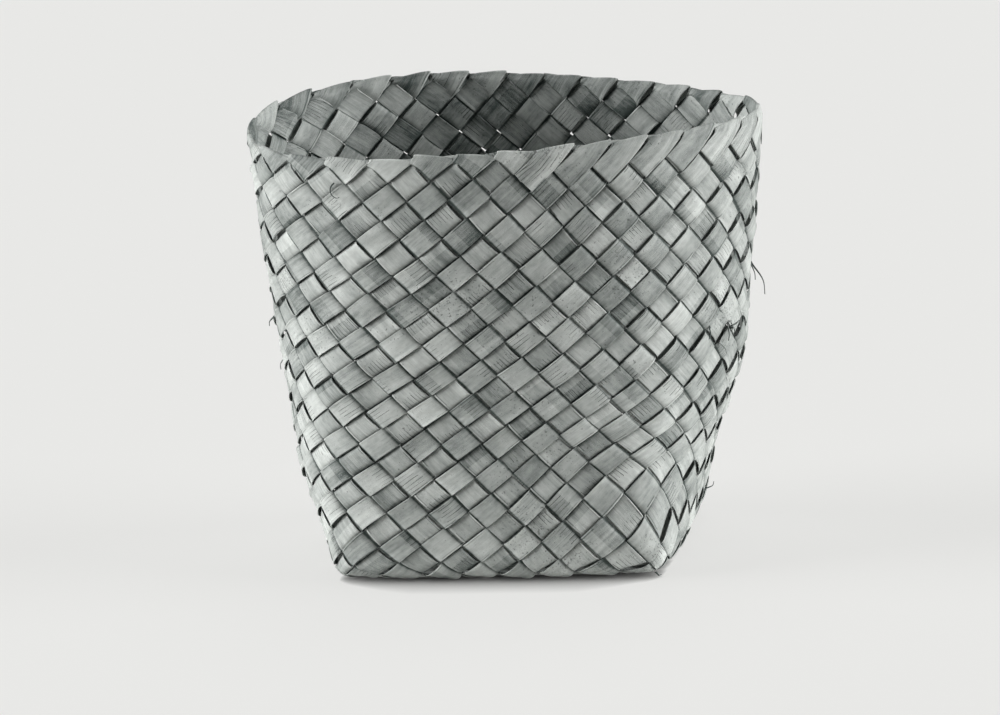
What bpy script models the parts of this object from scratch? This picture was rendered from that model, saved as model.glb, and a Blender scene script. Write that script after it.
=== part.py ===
"""A plaited basket of flat strips, modelled strip by strip.

The strips cross over-one-under-one on the bias. They form a square bottom, turn up round
its edge, climb the wall in slanting lines and spread to an oval mouth, where every end is
folded over the rim and laid back along the strip that it meets there.
Lengths are in metres, +Z is up, the long way of the mouth runs along X, and the basket
stands on z = 0.
"""

import math
from dataclasses import dataclass, field

import bpy
import numpy as np

# Strips, in both directions of the weave
STRIPS_EACH_WAY = 16
STRIP_WIDTH = 0.0113
STRIP_GAP = 0.0023
STRIP_THICKNESS = 0.0005
LAYER_CLEARANCE = 0.00034
DRAW_IN_SHARE = 0.96
DRAW_IN_ROUNDS = 24

# Bottom, a square with rounded corners and a rounded lower edge
BOTTOM_SQUARENESS = 6.0
EDGE_RADIUS = 0.014
EDGE_TURN = math.radians(78)
EDGE_START_ROW = -0.45
FLAT_LENGTH = 0.0050
FOOT_LIFT = 0.0006

# Wall and mouth
MOUTH_LENGTH = 0.2640
MOUTH_WIDTH = 0.1900
RIM_HEIGHT = 0.2230
RIM_TILT = 0.0120
RIM_WAVE = 0.0090
FLARE_START_ROW = 0.5
FLARE_POWER = 5.0
FLARE_STRAIGHT_SHARE = 0.5

# Lie of the columns on the wall, in pitches and shares of a pitch at the rim
COLUMN_DRIFT = 2.6
CROWD_ONCE_SHARE = 0.47
CROWD_TWICE_SHARE = 0.26
SWAY_TWICE_SHARE = -0.22

# Folded ends
FOLD_SLACK = 0.0008
FOLD_REACH_SHARE = 0.5

# Finish of the dry strips: grey, matt
LIGHT_TONE = 0.48
TONE_STEP = 0.035
TONES = 5
STRIP_ROUGHNESS = 0.8

CORNERS = ("front_left", "front_right", "back_right", "back_left")
SIDE_COLUMNS = STRIPS_EACH_WAY // 2
COLUMNS = len(CORNERS) * SIDE_COLUMNS
HALF_SIDE_COLUMNS = SIDE_COLUMNS / 2
STRIP_SPACING = STRIP_WIDTH + STRIP_GAP
FILLED_SHARE = STRIP_WIDTH / STRIP_SPACING
LAYER_STEP = STRIP_THICKNESS + LAYER_CLEARANCE
REACH = LAYER_STEP / 2 / (1 - FILLED_SHARE)
OUTLINE_STEPS = 1440


class Outline:
    """A closed outline in plan, walked by share of its length from the front, anticlockwise."""

    def __init__(self, length, width, squareness):
        angles = np.linspace(-math.pi / 2, 3 * math.pi / 2, OUTLINE_STEPS + 1)
        cosines, sines = np.cos(angles), np.sin(angles)
        self.xs = length / 2 * np.sign(cosines) * np.abs(cosines) ** (2 / squareness)
        self.ys = width / 2 * np.sign(sines) * np.abs(sines) ** (2 / squareness)
        steps = np.hypot(np.diff(self.xs), np.diff(self.ys))
        self.walked = np.concatenate([[0.0], np.cumsum(steps)])
        self.perimeter = float(self.walked[-1])

    def at(self, turn):
        """The point of the outline at a share of a full turn."""
        walked = (turn % 1.0) * self.perimeter
        return np.array([np.interp(walked, self.walked, self.xs), np.interp(walked, self.walked, self.ys)])


def row_height(pitch):
    """The height of a row of crossings whose strips keep their spacing at this pitch."""
    return STRIP_SPACING * pitch / math.sqrt(pitch**2 - STRIP_SPACING**2)


BOTTOM_PITCH = STRIP_SPACING * math.sqrt(2)
BOTTOM_SIDE = COLUMNS * BOTTOM_PITCH / Outline(1.0, 1.0, BOTTOM_SQUARENESS).perimeter
BOTTOM = Outline(BOTTOM_SIDE, BOTTOM_SIDE, BOTTOM_SQUARENESS)
MOUTH = Outline(MOUTH_LENGTH, MOUTH_WIDTH, 2.0)
MEAN_ROW = (row_height(BOTTOM_PITCH) + row_height(MOUTH.perimeter / COLUMNS)) / 2
ROWS = round(RIM_HEIGHT / MEAN_ROW)
EDGE_ROW = EDGE_RADIUS / MEAN_ROW
EDGE_END_ROW = EDGE_START_ROW + EDGE_TURN * EDGE_ROW
GROUND_LIFT = REACH + STRIP_THICKNESS / 2
FLAT_END_ROW = EDGE_START_ROW - 0.5


def edge_turned(row):
    """How far the sheet has turned up from level at a row, in radians."""
    return min(max((row - EDGE_START_ROW) / EDGE_ROW, 0.0), EDGE_TURN)


def edge_height(row):
    """The height of the sheet at a row of the rounded edge, whose outer strips stay off the ground."""
    return GROUND_LIFT + FOOT_LIFT + EDGE_RADIUS * (1 - math.cos(edge_turned(row)))


def edge_scale(row):
    """The size of the bottom's outline at a row of its rounded edge."""
    return 1 + EDGE_RADIUS * (math.sin(edge_turned(row)) - math.sin(edge_turned(0.0))) / (BOTTOM_SIDE / 2)


def wall_point(column, row):
    """The middle of the weave at a column round the basket and a row above the bottom's outline."""
    climb = row / ROWS
    along = column - HALF_SIDE_COLUMNS + COLUMN_DRIFT * climb
    angle = 2 * math.pi * along / COLUMNS
    uneven = CROWD_ONCE_SHARE * (math.cos(angle) - 1) + CROWD_TWICE_SHARE * (math.cos(2 * angle) - 1)
    turn = (along + climb * (uneven + SWAY_TWICE_SHARE * math.sin(2 * angle))) / COLUMNS
    low = BOTTOM.at(turn) * edge_scale(row)
    high = MOUTH.at(turn)
    straight = max(row - FLARE_START_ROW, 0.0) / (ROWS - FLARE_START_ROW)
    bulged = 1 - (1 - straight) ** FLARE_POWER
    flare = bulged + (straight - bulged) * FLARE_STRAIGHT_SHARE
    x, y = low + (high - low) * flare
    across, deep = 2 * high / np.array([MOUTH_LENGTH, MOUTH_WIDTH])
    rim = RIM_HEIGHT + RIM_TILT * deep - RIM_WAVE * across * deep
    wall_height = (rim - edge_height(ROWS)) * max(row - EDGE_END_ROW, 0.0) / (ROWS - EDGE_END_ROW)
    return np.array([x, y, edge_height(row) + wall_height])


def bottom_corner(column):
    """Where a column meets the outline of an ideal square bottom, in pitches from its middle."""
    side, step = divmod(column % COLUMNS, SIDE_COLUMNS)
    along = step - HALF_SIDE_COLUMNS
    places = ((along, -1), (1, along), (-along, 1), (-1, -along))
    across, deep = places[int(side)]
    if side % 2 == 0:
        return np.array([across, deep * HALF_SIDE_COLUMNS])
    return np.array([across * HALF_SIDE_COLUMNS, deep])


def bottom_point(place):
    """The middle of the weave at a place of the bottom, given in pitches from its middle."""
    ring = max(abs(place[0]), abs(place[1]))
    across, deep = place / ring * HALF_SIDE_COLUMNS
    if -deep >= abs(across):
        column = across
    elif across >= abs(deep):
        column = SIDE_COLUMNS + deep
    elif deep >= abs(across):
        column = 2 * SIDE_COLUMNS - across
    else:
        column = 3 * SIDE_COLUMNS - deep
    row = ring - HALF_SIDE_COLUMNS
    rounded = BOTTOM.at(column / COLUMNS)
    if row > EDGE_START_ROW:
        x, y = rounded * edge_scale(row)
        return np.array([x, y, edge_height(row)])
    inward = ring / (HALF_SIDE_COLUMNS + EDGE_START_ROW)
    square = np.array([across, deep]) / HALF_SIDE_COLUMNS * BOTTOM_SIDE / 2
    blend = inward**3
    x, y = (square + (rounded - square) * blend) * edge_scale(EDGE_START_ROW) * inward
    return np.array([x, y, GROUND_LIFT if row <= FLAT_END_ROW else edge_height(row)])


@dataclass
class Crossing:
    """A place where two strips cross, at the middle of the weave.

    A strip long enough to meet itself passes the same crossing twice, so a passing is
    named by the strip and its count of crossings up to there.
    """

    row: float
    point: np.ndarray
    tangents: dict = field(default_factory=dict)
    widths: dict = field(default_factory=dict)
    normal: np.ndarray = None

    def is_flat(self):
        """Whether the strips lie level here, the outer one on the ground."""
        return self.row <= FLAT_END_ROW

    def partner(self, passing):
        """The passing that the given one crosses here."""
        return next(other for other in self.tangents if other != passing)


def outside(index):
    """Which side of the weave a strip lies on at the crossing of this index: 1 outside, -1 inside."""
    return 1 if index % 2 == 0 else -1


def unit(vector):
    """The vector at length 1."""
    return vector / np.linalg.norm(vector)


class Weave:
    """All crossings and the routes of all strips through them."""

    def __init__(self):
        self.wall = {}
        self.bottom = {}
        self.routes = {}
        for corner, corner_name in enumerate(CORNERS):
            for place in range(SIDE_COLUMNS):
                self.routes[f"strip_{corner_name}_{place + 1}"] = self.route(corner, place)
        self.find_directions()
        self.find_widths()
        self.draw_in_tight_strips()

    def wall_crossing(self, column, row):
        """The crossing at a column and a row of the wall."""
        key = (round(2 * column) % (2 * COLUMNS), round(2 * row))
        if key not in self.wall:
            self.wall[key] = Crossing(row, wall_point(column, row))
        return self.wall[key]

    def bottom_crossing(self, place):
        """The crossing at a place of the bottom, given in pitches from its middle."""
        key = (round(2 * place[0]), round(2 * place[1]))
        if key not in self.bottom:
            row = max(abs(place[0]), abs(place[1])) - HALF_SIDE_COLUMNS
            self.bottom[key] = Crossing(row, bottom_point(place))
        return self.bottom[key]

    def route(self, corner, place):
        """The crossings of a strip, from its right-leaning end to its left-leaning end.

        The strip cuts off one corner of the bottom, place + 1/2 pitches from it along both sides.
        """
        right_foot = corner * SIDE_COLUMNS + place + 0.5
        left_foot = corner * SIDE_COLUMNS - place - 0.5
        halves = range(2 * ROWS + 1)
        start, end = bottom_corner(right_foot), bottom_corner(left_foot)
        steps = 2 * place + 1
        route = [self.wall_crossing(right_foot + half / 2, half / 2) for half in reversed(halves)]
        route += [self.bottom_crossing(start + (end - start) * step / steps) for step in range(1, steps)]
        route += [self.wall_crossing(left_foot - half / 2, half / 2) for half in halves]
        return route

    def find_directions(self):
        """Gives each crossing the directions of its strips and its outward normal."""
        inside = np.array([0.0, 0.0, RIM_HEIGHT / 2])
        for name, route in self.routes.items():
            for index, crossing in enumerate(route):
                before = route[max(index - 1, 0)].point
                after = route[min(index + 1, len(route) - 1)].point
                crossing.tangents[name, index] = unit(after - before)
        for crossing in self.all_crossings():
            across = unit(np.cross(*crossing.tangents.values()))
            crossing.normal = across * np.sign(across @ (crossing.point - inside))
            if crossing.is_flat():
                crossing.normal = np.array([0.0, 0.0, -1.0])

    def find_widths(self):
        """Lets each strip fill the same share of the spacing that its neighbours leave it."""
        for name, route in self.routes.items():
            for index, crossing in enumerate(route):
                legs = [
                    np.linalg.norm(route[other].point - crossing.point)
                    for other in (index - 1, index + 1)
                    if 0 <= other < len(route)
                ]
                slant = np.linalg.norm(np.cross(*crossing.tangents.values()))
                partner = crossing.partner((name, index))
                crossing.widths[partner] = min(legs) * slant * FILLED_SHARE

    def middle_line(self, passing):
        """The middle of a strip's section at a passing, and half of its width as a vector."""
        name, index = passing
        crossing = self.routes[name][index]
        across = crossing.tangents[crossing.partner(passing)]
        half_width = section_line(
            crossing.widths[passing], across, crossing.tangents[passing], crossing.normal
        )
        return crossing.point + crossing.normal * REACH * outside(index), half_width

    def edge(self, passing, following, toward):
        """The start and the run of a strip's edge between two passings, on the side of a vector."""
        ends = []
        for end in (passing, following):
            middle, half_width = self.middle_line(end)
            ends.append(middle + half_width * np.sign(half_width @ toward))
        return ends[0], ends[1] - ends[0]

    def corner_gap(self, crossing, own, own_next, other, other_next):
        """How far apart two strips' middles pass where their edges cross, in one corner of a crossing."""
        to_own = self.routes[own_next[0]][own_next[1]].point - crossing.point
        to_other = self.routes[other_next[0]][other_next[1]].point - crossing.point
        own_start, own_run = self.edge(own, own_next, to_other)
        other_start, other_run = self.edge(other, other_next, to_own)
        columns = np.column_stack([own_run, -other_run, -crossing.normal])
        return np.linalg.solve(columns, other_start - own_start)[2] * outside(own[1])

    def tightest_gap(self, crossing):
        """The smallest of the gaps in a crossing's corners."""
        own, other = crossing.tangents
        gaps = []
        for own_next in self.neighbours(own):
            for other_next in self.neighbours(other):
                gaps.append(self.corner_gap(crossing, own, own_next, other, other_next))
        return min(gaps)

    def neighbours(self, passing):
        """The passings before and after one on its strip."""
        name, index = passing
        return [(name, other) for other in (index - 1, index + 1) if 0 <= other < len(self.routes[name])]

    def draw_in_tight_strips(self):
        """Narrows strips where the sheet bends so sharply that they would touch."""
        for _ in range(DRAW_IN_ROUNDS):
            tight = [place for place in self.all_crossings() if self.tightest_gap(place) < LAYER_STEP]
            for crossing in tight:
                for passing in crossing.widths:
                    crossing.widths[passing] *= DRAW_IN_SHARE

    def all_crossings(self):
        """Every crossing of the wall and the bottom."""
        return list(self.wall.values()) + list(self.bottom.values())


def section(centre, half_width, thickness):
    """The four corners of a strip's section: the inner face, then the outer face."""
    inner, outer = centre - thickness / 2, centre + thickness / 2
    return np.array([inner - half_width, inner + half_width, outer + half_width, outer - half_width])


def level(direction, normal):
    """The direction at length 1, square to the normal."""
    return unit(direction - normal * (direction @ normal))


def section_line(width, direction, run, normal):
    """Half of a strip's width as a vector, on a line that crosses its run at a slant."""
    line = level(direction, normal)
    return line * width / 2 / np.linalg.norm(np.cross(line, run))


def crossing_section(crossing, passing, width, reach, sense, face=1):
    """The section of a strip that follows a passing over a crossing, at a reach off the middle.

    The half width points to the same side as sense, and face is -1 where the strip is turned over.
    """
    run = crossing.tangents[passing]
    across = crossing.tangents[crossing.partner(passing)]
    half_width = section_line(width, across, run, crossing.normal)
    half_width = half_width * np.sign(half_width @ sense)
    centre = crossing.point + crossing.normal * reach
    return section(centre, half_width, crossing.normal * STRIP_THICKNESS * face)


def body_sections(name, route):
    """The sections of a strip from crossing to crossing, outside the weave at every other one."""
    sections = []
    for index, crossing in enumerate(route):
        side = outside(index)
        run = crossing.tangents[name, index]
        sense = np.cross(crossing.normal, run)
        width = crossing.widths[name, index]
        plain = crossing_section(crossing, (name, index), width, REACH * side, sense)
        if crossing.is_flat() and side > 0:
            shift = level(run, crossing.normal) * FLAT_LENGTH / 2
            sections += [plain - shift, plain + shift]
        else:
            sections.append(plain)
    return sections


def laid_back_end(weave, passing, below, rim_section, below_section):
    """The sections of an end from its tip to the last one below the fold.

    The strip folds over to the side that it lies on at the rim, and returns along its
    partner, over the partner's next crossing and on to that crossing's far edge.
    """
    name, index = passing
    fold = weave.routes[name][index]
    partner, start = fold.partner(passing)
    step = 1 if start == 0 else -1
    laid_over, beyond = (weave.routes[partner][start + step * count] for count in (1, 2))
    over_passing, under_passing = (partner, start + step), (partner, start + 2 * step)
    width = fold.widths[passing]
    side = outside(index)
    run = unit(fold.point - below.point)
    partner_run = unit(fold.point - laid_over.point)
    lean = level(laid_over.point - below.point, fold.normal)
    up = unit(level(run, fold.normal) - lean * (run @ lean))
    half_width = section_line(width, lean, run, fold.normal)
    half_width = half_width * np.sign(half_width @ (rim_section[1] - rim_section[0]))
    rim_place = fold.point + (lean + up) * FOLD_SLACK
    fold_out, upward = fold.normal * REACH * FOLD_REACH_SHARE, up * STRIP_THICKNESS * side
    layer_out, outward = fold.normal * LAYER_STEP, fold.normal * STRIP_THICKNESS
    risen = section(rim_place + fold_out * side, half_width, outward - upward)
    turned = section(rim_place + (fold_out + layer_out) * side, half_width, -outward - upward)
    over = crossing_section(laid_over, over_passing, width, (LAYER_STEP + REACH) * side, half_width, -1)
    under = crossing_section(beyond, under_passing, width, (LAYER_STEP - REACH) * side, half_width, -1)
    slant = np.linalg.norm(np.cross(run, partner_run))
    crossed_half = laid_over.widths[laid_over.partner(over_passing)] / 2 / slant
    tip = over + (under - over) * crossed_half / np.linalg.norm(beyond.point - laid_over.point)
    partner_half = fold.widths[partner, start] / 2 / slant
    to_below = np.linalg.norm(below.point - fold.point)
    edge = rim_section + (below_section - rim_section) * partner_half / to_below
    return [tip, over, turned, risen, edge]


def strip_sections(weave, name):
    """All sections of a strip, from tip to tip."""
    route = weave.routes[name]
    body = body_sections(name, route)
    first = laid_back_end(weave, (name, 0), route[1], body[0], body[1])
    last = laid_back_end(weave, (name, len(route) - 1), route[-2], body[-1], body[-2])
    return first + body[1:-1] + last[::-1]


def add_material(name, tone):
    """The matt grey of one dried strip."""
    material = bpy.data.materials.new(name)
    material.use_nodes = True
    shader = material.node_tree.nodes["Principled BSDF"]
    shader.inputs["Base Color"].default_value = (tone, tone, tone * 0.97, 1.0)
    shader.inputs["Roughness"].default_value = STRIP_ROUGHNESS
    return material


def add_strip(name, sections, tone):
    """Builds a strip as one closed tube of four faces through its sections."""
    vertices = np.concatenate(sections)
    triangles = [(0, 2, 1), (0, 3, 2)]
    for first in range(0, len(vertices) - 4, 4):
        for near in ((0, 1), (1, 2), (3, 0)):
            left, right = first + near[0], first + near[1]
            triangles += [(left, right, right + 4), (left, right + 4, left + 4)]
        left, right = first + 2, first + 3
        triangles += [(left, right, left + 4), (right, right + 4, left + 4)]
    end = len(vertices) - 4
    triangles += [(end, end + 1, end + 2), (end, end + 2, end + 3)]
    mesh = bpy.data.meshes.new(name)
    mesh.from_pydata([tuple(vertex) for vertex in vertices], [], triangles)
    mesh.materials.append(add_material(f"{name}_finish", tone))
    bpy.context.scene.collection.objects.link(bpy.data.objects.new(name, mesh))


def main():
    """Clears the scene and builds every strip."""
    for old in list(bpy.data.objects):
        bpy.data.objects.remove(old)
    weave = Weave()
    for index, name in enumerate(weave.routes):
        tone = LIGHT_TONE - TONE_STEP * (index * 3 % TONES)
        add_strip(name, strip_sections(weave, name), tone)


main()
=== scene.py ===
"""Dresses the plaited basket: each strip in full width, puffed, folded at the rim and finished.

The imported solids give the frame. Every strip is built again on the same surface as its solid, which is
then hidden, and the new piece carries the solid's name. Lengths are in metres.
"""

import logging
import math
from dataclasses import dataclass, field
from enum import Enum
from functools import cached_property
from typing import Any

import bpy
import numpy as np
from mathutils import Matrix, Vector, noise


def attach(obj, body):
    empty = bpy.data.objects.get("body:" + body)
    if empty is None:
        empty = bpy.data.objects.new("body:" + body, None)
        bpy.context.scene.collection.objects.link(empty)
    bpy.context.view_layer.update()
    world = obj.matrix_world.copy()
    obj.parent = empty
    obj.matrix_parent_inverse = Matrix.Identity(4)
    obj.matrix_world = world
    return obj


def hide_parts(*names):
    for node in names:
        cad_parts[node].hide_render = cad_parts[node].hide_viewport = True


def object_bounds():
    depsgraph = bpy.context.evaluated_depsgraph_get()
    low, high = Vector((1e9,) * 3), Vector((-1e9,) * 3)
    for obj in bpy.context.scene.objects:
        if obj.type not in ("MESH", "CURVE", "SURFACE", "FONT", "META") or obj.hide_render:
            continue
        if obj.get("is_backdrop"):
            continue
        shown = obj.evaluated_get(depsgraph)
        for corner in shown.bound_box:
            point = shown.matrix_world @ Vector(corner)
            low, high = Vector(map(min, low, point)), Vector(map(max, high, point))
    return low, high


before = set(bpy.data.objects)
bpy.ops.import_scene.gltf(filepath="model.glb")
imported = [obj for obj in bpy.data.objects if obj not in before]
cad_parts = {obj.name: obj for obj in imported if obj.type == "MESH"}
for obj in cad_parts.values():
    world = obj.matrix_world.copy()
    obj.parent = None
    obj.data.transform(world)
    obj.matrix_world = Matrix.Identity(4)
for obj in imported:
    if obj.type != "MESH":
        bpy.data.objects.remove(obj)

LOG = logging.getLogger("basket")
MILLIMETRE = 0.001
PICTURE_WIDTH = 1000


class Corner(Enum):
    """The four corners of the bottom, in the order that the columns count them."""

    FRONT_LEFT = 0
    FRONT_RIGHT = 1
    BACK_RIGHT = 2
    BACK_LEFT = 3

    @property
    def label(self) -> str:
        """The corner's name as the strips carry it."""
        return self.name.lower()

    @property
    def diagonal(self) -> np.ndarray:
        """The way from the middle of the bottom to this corner, in pitches."""
        return np.array([(-1.0, -1.0), (1.0, -1.0), (1.0, 1.0), (-1.0, 1.0)][self.value])


class RimEnd(Enum):
    """What becomes of a strip's end at the rim."""

    FOLDED_IN = "folded inward over the rim and tucked under the next crossing"
    FOLDED_OUT = "folded outward over its partner and laid over the next crossing"
    CUT = "cut off inside the fold of its partner"

    @property
    def body_side(self) -> float:
        """The side of the fold that the strip itself lies on, where 1 is the basket's outside."""
        return -1.0 if self is RimEnd.FOLDED_OUT else 1.0


def smooth(value: np.ndarray, low: float, high: float) -> np.ndarray:
    """A soft step from 0 at low to 1 at high.

    Args:
        value: Where to evaluate the step.
        low: The value at which it starts to rise.
        high: The value at which it has risen.

    Returns:
        The height of the step, from 0 to 1.
    """
    share = np.clip((value - low) / (high - low), 0.0, 1.0)
    return share * share * (3 - 2 * share)


class Outline:
    """A closed outline in plan, walked by share of its length from the front, anticlockwise."""

    STEPS = 1440

    def __init__(self, length: float, width: float, squareness: float) -> None:
        """Lays out the outline.

        Args:
            length: Its size along X.
            width: Its size along Y.
            squareness: 2 gives an ellipse, and more gives a squarer form.
        """
        angles = np.linspace(-math.pi / 2, 3 * math.pi / 2, self.STEPS + 1)
        cosines, sines = np.cos(angles), np.sin(angles)
        self.xs = length / 2 * np.sign(cosines) * np.abs(cosines) ** (2 / squareness)
        self.ys = width / 2 * np.sign(sines) * np.abs(sines) ** (2 / squareness)
        steps = np.hypot(np.diff(self.xs), np.diff(self.ys))
        self.walked = np.concatenate([[0.0], np.cumsum(steps)])
        self.perimeter = float(self.walked[-1])

    def at(self, turn: np.ndarray) -> np.ndarray:
        """The points of the outline at shares of a full turn.

        Args:
            turn: Shares of a turn, in an array of any shape.

        Returns:
            The points in plan, in an array with one more axis.
        """
        walked = (turn % 1.0) * self.perimeter
        xs = np.interp(walked, self.walked, self.xs)
        ys = np.interp(walked, self.walked, self.ys)
        return np.stack([xs, ys], -1)


@dataclass(frozen=True)
class Bulge:
    """A part of the wall that stands off from the even form.

    Attributes:
        centre: Where it is strongest.
        reach: How far from there, along X, Y and Z, it has faded to about a third.
        shift: How far the surface moves at the centre.
    """

    centre: tuple[float, float, float]
    reach: tuple[float, float, float]
    shift: tuple[float, float, float]


# These make the lower wall and the front of the rim lopsided, as in the photo.
BULGES = (
    Bulge((0.055, -0.085, 0.052), (0.045, 0.050, 0.032), (-0.0050, 0.0, 0.0045)),
    Bulge((0.085, -0.070, 0.048), (0.035, 0.050, 0.024), (0.0, 0.0, 0.0055)),
    Bulge((0.100, 0.020, 0.052), (0.060, 0.090, 0.034), (-0.0062, 0.0, 0.0)),
    Bulge((-0.100, -0.020, 0.048), (0.050, 0.080, 0.030), (-0.0036, 0.0, 0.0)),
    Bulge((-0.045, -0.100, 0.225), (0.120, 0.100, 0.045), (-0.0015, 0.0, 0.0062)),
)


@dataclass(frozen=True)
class BasketShape:
    """The surface that the weave follows: bottom, rounded edge and flaring wall.

    Columns count the strips of one lean round the basket, and rows count up the wall.
    """

    rows: int = 12
    side_columns: int = 8
    strip_spacing: float = 0.0136
    bottom_squareness: float = 6.0
    edge_radius: float = 0.014
    edge_turn: float = math.radians(78)
    edge_start_row: float = -0.45
    ground_lift: float = 0.00250
    mouth_length: float = 0.2640
    mouth_width: float = 0.1900
    rim_height: float = 0.2230
    rim_tilt: float = 0.0120
    rim_wave: float = 0.0090
    flare_start_row: float = 0.5
    flare_power: float = 5.0
    flare_straight_share: float = 0.5
    column_drift: float = 2.6
    crowd_once: float = 0.47
    crowd_twice: float = 0.26
    sway_twice: float = -0.22
    corner_reach: float = 0.020
    corner_place: float = 0.99
    corner_pull: float = 0.62
    dent_height: float = 0.0014
    dent_length: float = 0.042
    dent_start_height: float = 0.004
    dent_full_height: float = 0.030

    @property
    def columns(self) -> int:
        """How many strips of one lean meet the rim."""
        return 4 * self.side_columns

    @property
    def pitch(self) -> float:
        """The distance from crossing to crossing along a side of the bottom."""
        return self.strip_spacing * math.sqrt(2)

    @cached_property
    def bottom_side(self) -> float:
        """The side of the bottom, which gives each column one pitch of its outline."""
        return self.columns * self.pitch / Outline(1.0, 1.0, self.bottom_squareness).perimeter

    @cached_property
    def bottom(self) -> Outline:
        """The outline of the bottom in plan."""
        return Outline(self.bottom_side, self.bottom_side, self.bottom_squareness)

    @cached_property
    def mouth(self) -> Outline:
        """The oval of the rim in plan."""
        return Outline(self.mouth_length, self.mouth_width, 2.0)

    @cached_property
    def edge_row(self) -> float:
        """How many rows the rounded edge takes to turn by one radian."""
        row = (self.row_height(self.pitch) + self.row_height(self.mouth.perimeter / self.columns)) / 2
        return self.edge_radius / row

    def row_height(self, pitch: float) -> float:
        """The height of a row of crossings whose strips keep their spacing at this pitch."""
        return self.strip_spacing * pitch / math.sqrt(pitch**2 - self.strip_spacing**2)

    def edge_turned(self, row: np.ndarray) -> np.ndarray:
        """How far the surface has turned up from level at each row, in radians."""
        return np.clip((row - self.edge_start_row) / self.edge_row, 0.0, self.edge_turn)

    def edge_height(self, row: np.ndarray) -> np.ndarray:
        """The height of the surface at each row of the rounded edge."""
        return self.ground_lift + self.edge_radius * (1 - np.cos(self.edge_turned(row)))

    def edge_scale(self, row: np.ndarray) -> np.ndarray:
        """The size of the bottom's outline at each row of its rounded edge.

        Args:
            row: Rows, counted up from the bottom's outline.

        Returns:
            The size as a share of the outline's own.
        """
        start = math.sin(float(self.edge_turned(np.float64(0.0))))
        grown = self.edge_radius * (np.sin(self.edge_turned(row)) - start)
        return 1 + grown / (self.bottom_side / 2)

    def wall(self, column: np.ndarray, row: np.ndarray) -> np.ndarray:
        """The surface at columns round the basket and rows above the bottom's outline.

        Args:
            column: Columns, counted anticlockwise from the front left corner.
            row: Rows, counted up from the bottom's outline.

        Returns:
            The points, in an array with one more axis than the columns have.
        """
        climb = row / self.rows
        along = column - self.side_columns / 2 + self.column_drift * climb
        angle = 2 * math.pi * along / self.columns
        crowd = self.crowd_once * (np.cos(angle) - 1) + self.crowd_twice * (np.cos(2 * angle) - 1)
        turn = (along + climb * (crowd + self.sway_twice * np.sin(2 * angle))) / self.columns
        low = self.bottom.at(turn) * self.edge_scale(row)[..., None]
        high = self.mouth.at(turn)
        straight = np.maximum(row - self.flare_start_row, 0.0) / (self.rows - self.flare_start_row)
        bulged = 1 - (1 - straight) ** self.flare_power
        flare = (bulged + (straight - bulged) * self.flare_straight_share)[..., None]
        across = 2 * high[..., 0] / self.mouth_length
        deep = 2 * high[..., 1] / self.mouth_width
        rim = self.rim_height + self.rim_tilt * deep - self.rim_wave * across * deep
        end_row = self.edge_start_row + self.edge_turn * self.edge_row
        risen = np.maximum(row - end_row, 0.0) / (self.rows - end_row)
        edge_top = self.edge_height(np.float64(self.rows))
        height = self.edge_height(row) + (rim - edge_top) * risen
        return np.concatenate([low + (high - low) * flare, height[..., None]], -1)

    def floor(self, place: np.ndarray) -> np.ndarray:
        """The surface at places of the bottom, given in pitches from its middle.

        Args:
            place: Places, with X and Y on the last axis.

        Returns:
            The points, with X, Y and Z on the last axis.
        """
        half = self.side_columns / 2
        ring = np.maximum(np.abs(place).max(-1), 1e-9)
        column = self.side_of(place * (half / ring)[..., None])[0]
        row = ring - half
        rounded = self.bottom.at((column - half) / self.columns)
        inward = ring / (half + self.edge_start_row)
        square = place / ring[..., None] * self.bottom_side / 2
        blend = (inward**3)[..., None]
        scale = float(self.edge_scale(np.float64(self.edge_start_row)))
        inner = (square + (rounded - square) * blend) * scale * inward[..., None]
        outer = rounded * self.edge_scale(row)[..., None]
        plan = np.where((row > self.edge_start_row)[..., None], outer, inner)
        return np.concatenate([plan, self.edge_height(row)[..., None]], -1)

    def side_of(self, place: np.ndarray) -> tuple[np.ndarray, np.ndarray]:
        """The column and the row of places on or beyond the outline of the bottom.

        Args:
            place: Places in pitches from the middle, with X and Y on the last axis.

        Returns:
            The columns and the rows.
        """
        half = self.side_columns / 2
        x, y = place[..., 0], place[..., 1]
        on_sides = [-y >= np.abs(x), x >= np.abs(y), y >= np.abs(x)]
        column = np.select(on_sides, [x + half, y + 3 * half, 5 * half - x], 7 * half - y)
        return column, np.maximum(np.abs(x), np.abs(y)) - half

    def place_of(self, column: np.ndarray, row: np.ndarray) -> np.ndarray:
        """The place of the bottom at columns and rows.

        Args:
            column: Columns, counted anticlockwise from the front left corner.
            row: Rows, counted up from the bottom's outline.

        Returns:
            The places in pitches from the middle, with X and Y on the last axis.
        """
        half = self.side_columns / 2
        side = np.floor(column / self.side_columns) % 4
        step = column % self.side_columns - half
        ring = half + row
        on_sides = [side == 0, side == 1, side == 2]
        x = np.select(on_sides, [step, ring, -step], -ring)
        y = np.select(on_sides, [-ring, step, ring], -step)
        return np.stack([x, y], -1)

    def lattice(self, column: np.ndarray, row: np.ndarray) -> np.ndarray:
        """The surface at columns and rows, on the wall or inside the bottom's outline.

        Args:
            column: Columns, counted anticlockwise from the front left corner.
            row: Rows, above 0 on the wall and below 0 on the bottom.

        Returns:
            The points, in an array with one more axis.
        """
        on_wall = self.wall(column, np.maximum(row, 0.0))
        on_floor = self.floor(self.place_of(column, np.minimum(row, 0.0)))
        return np.where((row >= 0)[..., None], on_wall, on_floor)

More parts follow.
